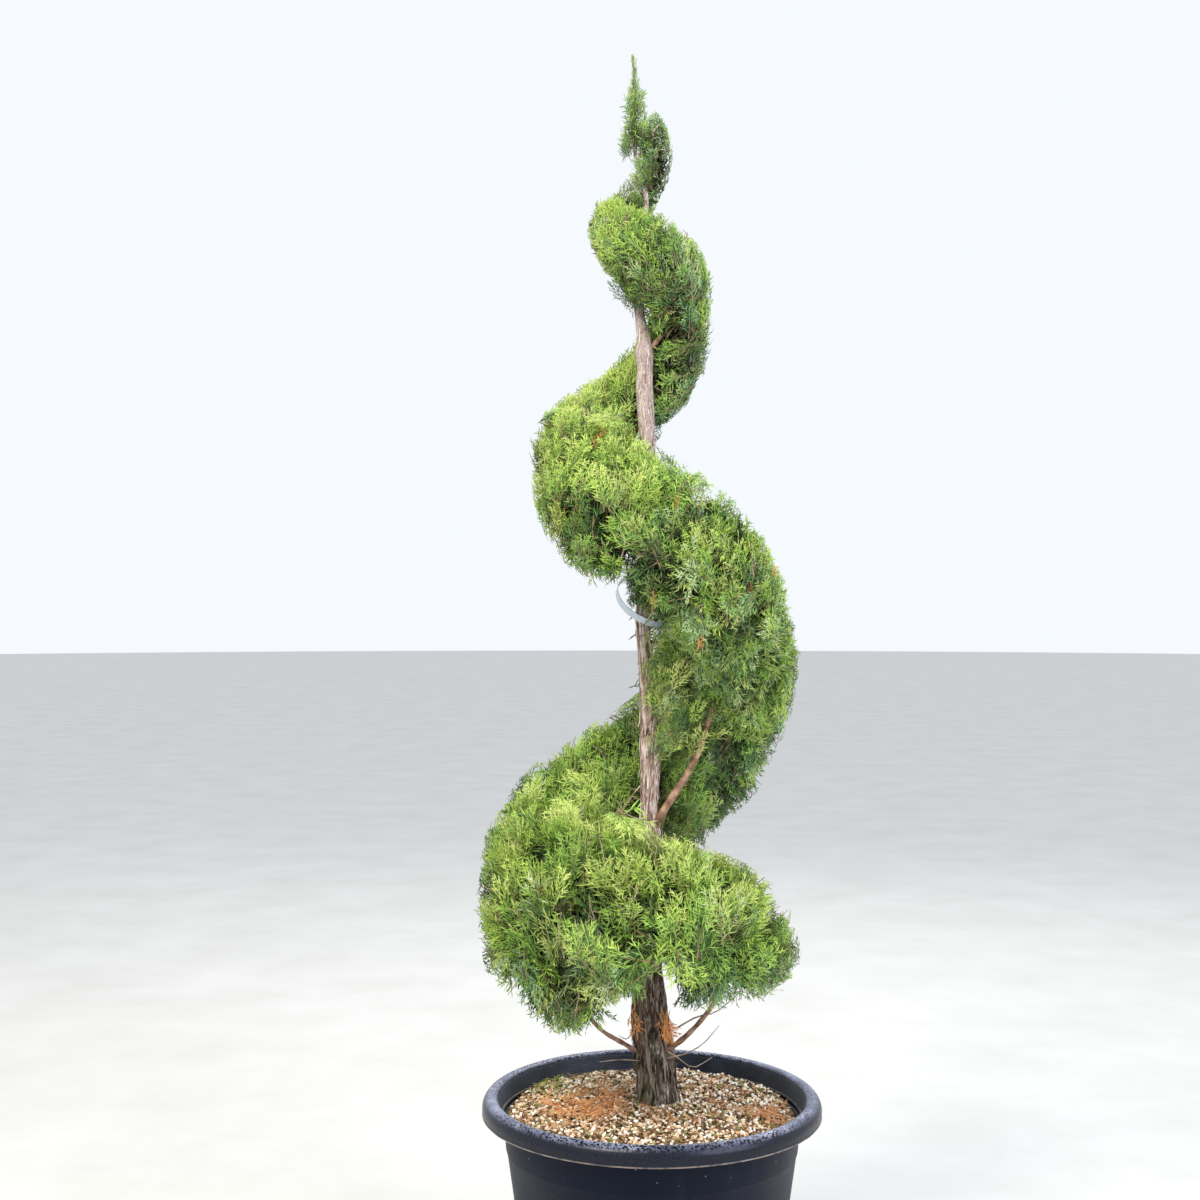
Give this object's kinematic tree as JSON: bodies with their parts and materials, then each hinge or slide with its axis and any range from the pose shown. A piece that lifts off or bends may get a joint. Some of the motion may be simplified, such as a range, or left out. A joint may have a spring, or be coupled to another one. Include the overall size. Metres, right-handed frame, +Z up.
{
  "type": "spiral topiary juniper in a nursery pot",
  "caption": "Clipped spiral topiary: a ribbon of evergreen foliage climbs one leaning trunk from a low wide turn to a thin leader, growing in a round black nursery pot.",
  "frame": {"origin": "centre of the pot's flat underside", "axes": "+Z up along the pot's axis, -Y towards the viewer of the picture, so +X is the picture's right"},
  "size_m": [0.6174, 0.6, 2.2881],
  "materials": {
    "pot_plastic": "dusty black nursery plastic with a slight sheen",
    "potting_mix": "loose bark, compost and perlite",
    "bark": "fibrous bark in peeling strips",
    "foliage": "scale-leaved juniper sprays, matt",
    "tag_plastic": "blank white plastic strip"
  },
  "bodies": {
    "root": {"pot": "pot_plastic", "potting_mix": "potting_mix", "trunk": "bark", "bough_low_left": "bark", "bough_low_right": "bark", "bough_mid_right": "bark", "bough_mid_back": "bark", "bough_top_right": "bark", "foliage_turn1_front": "foliage", "foliage_turn1_left": "foliage", "foliage_turn1_back": "foliage", "foliage_turn1_right": "foliage", "foliage_turn2_front": "foliage", "foliage_turn2_left": "foliage", "foliage_turn2_back": "foliage", "foliage_turn2_right": "foliage", "foliage_turn3_front": "foliage", "foliage_turn3_left": "foliage", "foliage_turn3_back": "foliage", "foliage_turn3_right": "foliage", "foliage_leader": "foliage", "plant_tag": "tag_plastic"}
  },
  "joints": []
}
